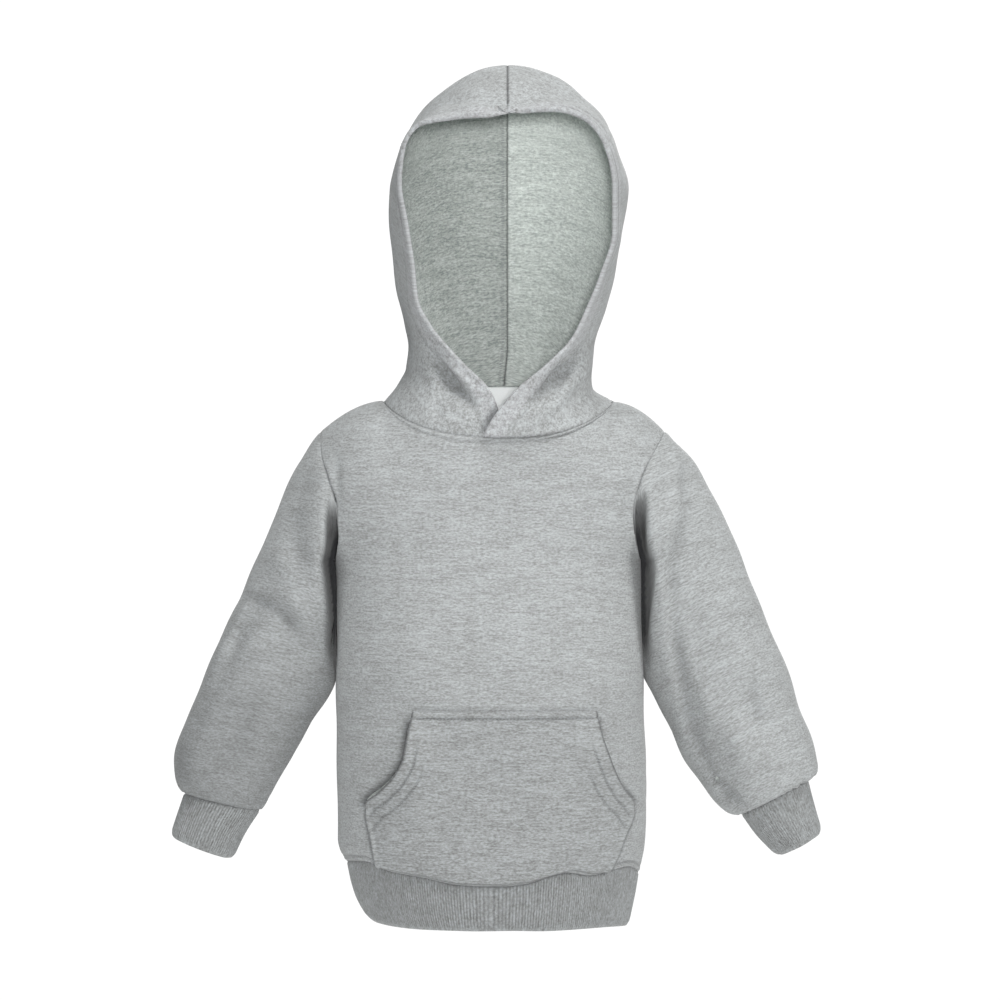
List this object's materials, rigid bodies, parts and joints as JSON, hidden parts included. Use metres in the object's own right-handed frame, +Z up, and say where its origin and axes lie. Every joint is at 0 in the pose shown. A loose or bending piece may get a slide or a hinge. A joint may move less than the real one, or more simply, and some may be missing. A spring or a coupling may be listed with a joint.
{
  "type": "toddler hoodie",
  "caption": "Toddler's pullover hoodie in marl fleece with a hood, a kangaroo pocket and ribbed cuffs and hem band, hollow and filled out as worn.",
  "frame": {"origin": "middle of the neck opening, level with the high points of the shoulders, where the wearer's shoulders carry the garment", "axes": "+Z up, +X to the wearer's left, and the front faces -Y"},
  "size_m": [0.5198, 0.1902, 0.6853],
  "materials": {
    "marl_fleece": "brushed marl sweatshirt fleece, matt",
    "rib_knit": "1x1 rib knit, matt",
    "label_tape": "bare white woven tape, smooth"
  },
  "bodies": {
    "root": {"body_front": "marl_fleece", "body_back": "marl_fleece", "sleeve_left": "marl_fleece", "sleeve_right": "marl_fleece", "hood_left": "marl_fleece", "hood_right": "marl_fleece", "pocket": "marl_fleece", "hem_band": "rib_knit", "cuff_left": "rib_knit", "cuff_right": "rib_knit", "neck_label": "label_tape"}
  },
  "joints": []
}
